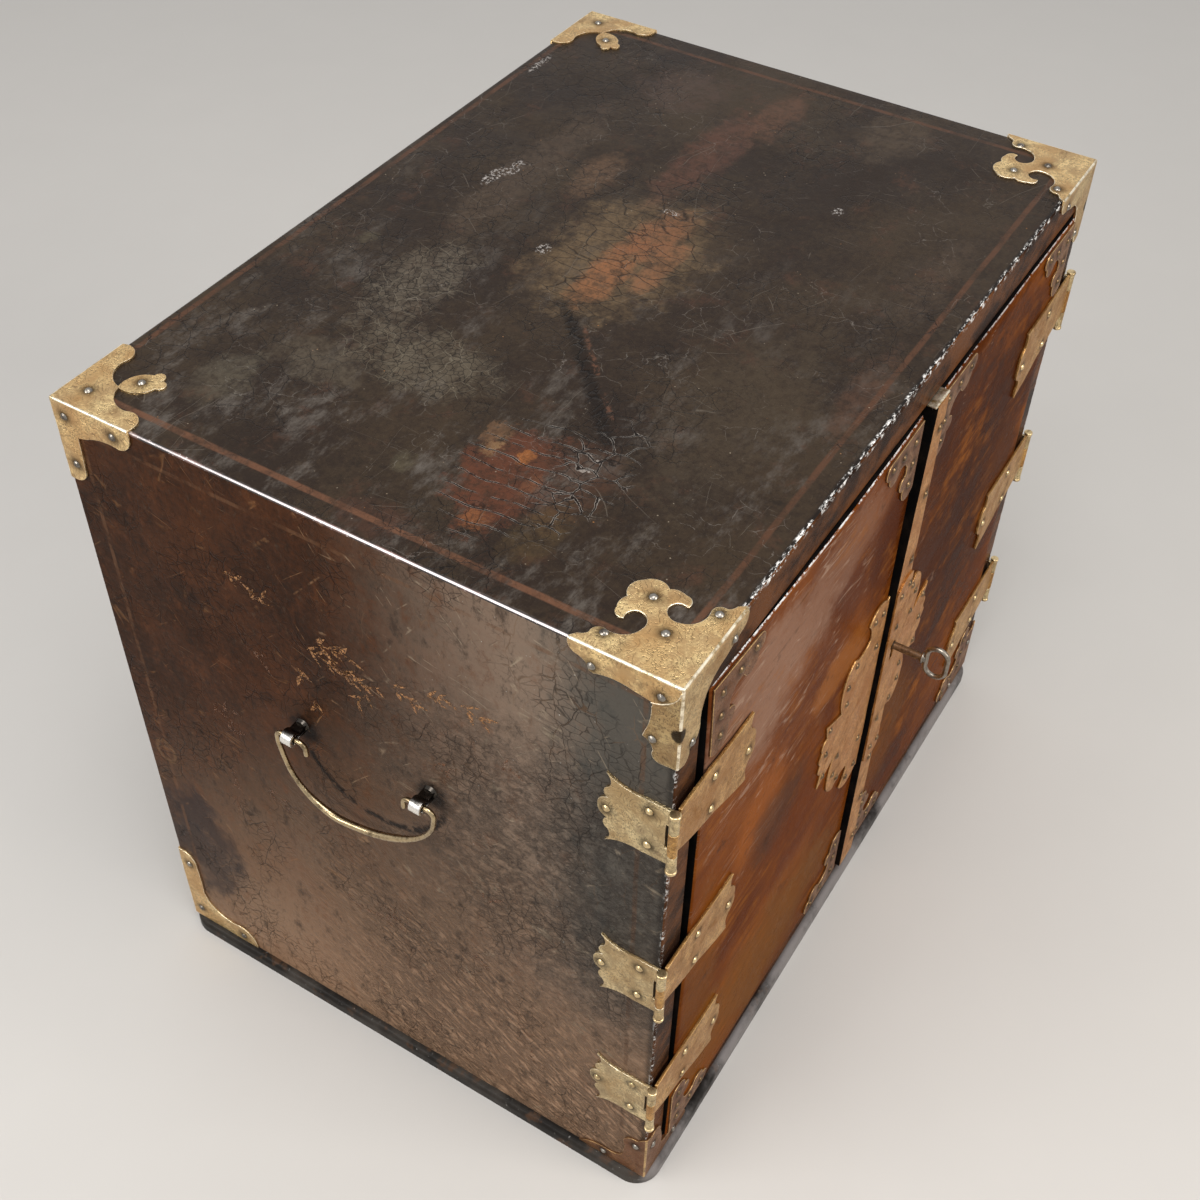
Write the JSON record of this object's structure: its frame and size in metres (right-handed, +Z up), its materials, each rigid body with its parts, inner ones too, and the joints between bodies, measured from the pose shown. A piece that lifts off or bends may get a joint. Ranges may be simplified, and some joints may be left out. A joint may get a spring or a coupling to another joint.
{
  "type": "small tansu chest",
  "caption": "Small lacquered chest with doors on brass strap hinges, drawers behind them, corner mounts, a keyed lock and a bail handle on each side.",
  "frame": {"origin": "middle of the underside of the base board", "axes": "+X to the right as seen from the front, -Y to the front, +Z up"},
  "size_m": [0.3816, 0.2892, 0.3279],
  "materials": {
    "dark_lacquer": "worn near-black lacquer over wood",
    "brown_lacquer": "glossy red-brown lacquer, scratched",
    "plain_wood": "plain planed softwood, darkened by age",
    "aged_brass": "aged brass, tarnished, bright on the edges",
    "lock_iron": "dull grey iron, worn"
  },
  "bodies": {
    "case": {"back_board": "plain_wood", "base_board": "dark_lacquer", "bottom_back_left_mount": "aged_brass", "bottom_back_right_mount": "aged_brass", "bottom_board": "brown_lacquer", "bottom_front_left_mount": "aged_brass", "bottom_front_right_mount": "aged_brass", "centre_partition": "plain_wood", "corner_mount_nails": "aged_brass", "drawer_guides": "plain_wood", "hinge_side_nails": "aged_brass", "left_handle_eyes": "aged_brass", "left_hinge_pins": "aged_brass", "left_hinge_side_leaves": "aged_brass", "left_side_board": "dark_lacquer", "right_handle_eyes": "aged_brass", "right_hinge_pins": "aged_brass", "right_hinge_side_leaves": "aged_brass", "right_side_board": "dark_lacquer", "shelf_boards": "plain_wood", "top_back_left_mount": "aged_brass", "top_back_right_mount": "aged_brass", "top_board": "dark_lacquer", "top_front_left_mount": "aged_brass", "top_front_right_mount": "aged_brass"},
    "left_door": {"left_door_panel": "brown_lacquer", "left_lock_plate": "aged_brass", "left_hinge_door_leaves": "aged_brass", "left_door_corner_plates": "aged_brass", "left_door_nails": "aged_brass", "lock_keeper": "lock_iron"},
    "right_door": {"right_door_panel": "brown_lacquer", "right_lock_plate": "aged_brass", "meeting_edge_strip": "aged_brass", "right_hinge_door_leaves": "aged_brass", "right_door_corner_plates": "aged_brass", "right_door_nails": "aged_brass", "lock_case": "lock_iron"},
    "key": {"key": "lock_iron"},
    "lock_bolt": {"lock_bolt": "lock_iron"},
    "left_handle": {"left_handle_bail": "aged_brass"},
    "right_handle": {"right_handle_bail": "aged_brass"},
    "left_top_drawer": {"left_top_drawer_front": "brown_lacquer", "left_top_drawer_box": "plain_wood", "left_top_drawer_knob": "aged_brass"},
    "left_middle_drawer": {"left_middle_drawer_front": "brown_lacquer", "left_middle_drawer_box": "plain_wood", "left_middle_drawer_knob": "aged_brass"},
    "left_bottom_drawer": {"left_bottom_drawer_front": "brown_lacquer", "left_bottom_drawer_box": "plain_wood", "left_bottom_drawer_knob": "aged_brass"},
    "right_top_drawer": {"right_top_drawer_front": "brown_lacquer", "right_top_drawer_box": "plain_wood", "right_top_drawer_knob": "aged_brass"},
    "right_middle_drawer": {"right_middle_drawer_front": "brown_lacquer", "right_middle_drawer_box": "plain_wood", "right_middle_drawer_knob": "aged_brass"},
    "right_bottom_drawer": {"right_bottom_drawer_front": "brown_lacquer", "right_bottom_drawer_box": "plain_wood", "right_bottom_drawer_knob": "aged_brass"}
  },
  "joints": [
    {"name": "left_door_hinge", "type": "hinge", "parent": "case", "child": "left_door", "pos_m": [-0.1824, -0.1295, 0.16], "axis": [0, 0, -1], "range_deg": [0, 200]},
    {"name": "right_door_hinge", "type": "hinge", "parent": "case", "child": "right_door", "pos_m": [0.1824, -0.1295, 0.16], "axis": [0, 0, 1], "range_deg": [0, 200]},
    {"name": "key_turn", "type": "hinge", "parent": "right_door", "child": "key", "pos_m": [0.013, -0.1323, 0.1745], "axis": [0, -1, 0], "range_deg": [0, 180]},
    {"name": "bolt_slide", "type": "slide", "parent": "right_door", "child": "lock_bolt", "axis": [-1, 0, 0], "range_m": [0, 0.008]},
    {"name": "left_handle_swing", "type": "hinge", "parent": "case", "child": "left_handle", "pos_m": [-0.1875, 0.0022, 0.209], "axis": [0, 1, 0], "range_deg": [-8, 165]},
    {"name": "right_handle_swing", "type": "hinge", "parent": "case", "child": "right_handle", "pos_m": [0.1875, 0.0022, 0.209], "axis": [0, -1, 0], "range_deg": [-8, 165]},
    {"name": "left_top_drawer_slide", "type": "slide", "parent": "case", "child": "left_top_drawer", "axis": [0, -1, 0], "range_m": [0, 0.126]},
    {"name": "left_middle_drawer_slide", "type": "slide", "parent": "case", "child": "left_middle_drawer", "axis": [0, -1, 0], "range_m": [0, 0.126]},
    {"name": "left_bottom_drawer_slide", "type": "slide", "parent": "case", "child": "left_bottom_drawer", "axis": [0, -1, 0], "range_m": [0, 0.126]},
    {"name": "right_top_drawer_slide", "type": "slide", "parent": "case", "child": "right_top_drawer", "axis": [0, -1, 0], "range_m": [0, 0.126]},
    {"name": "right_middle_drawer_slide", "type": "slide", "parent": "case", "child": "right_middle_drawer", "axis": [0, -1, 0], "range_m": [0, 0.126]},
    {"name": "right_bottom_drawer_slide", "type": "slide", "parent": "case", "child": "right_bottom_drawer", "axis": [0, -1, 0], "range_m": [0, 0.126]}
  ],
  "couplings": [
    {"joint": "key_turn", "follows": "bolt_slide", "rad_per_m": 392.5},
    {"joint": "left_top_drawer_slide", "follows": "left_door_hinge", "m_per_rad": 0.036},
    {"joint": "left_middle_drawer_slide", "follows": "left_door_hinge", "m_per_rad": 0.036},
    {"joint": "left_bottom_drawer_slide", "follows": "left_door_hinge", "m_per_rad": 0.036},
    {"joint": "right_top_drawer_slide", "follows": "right_door_hinge", "m_per_rad": 0.036},
    {"joint": "right_middle_drawer_slide", "follows": "right_door_hinge", "m_per_rad": 0.036},
    {"joint": "right_bottom_drawer_slide", "follows": "right_door_hinge", "m_per_rad": 0.036}
  ]
}
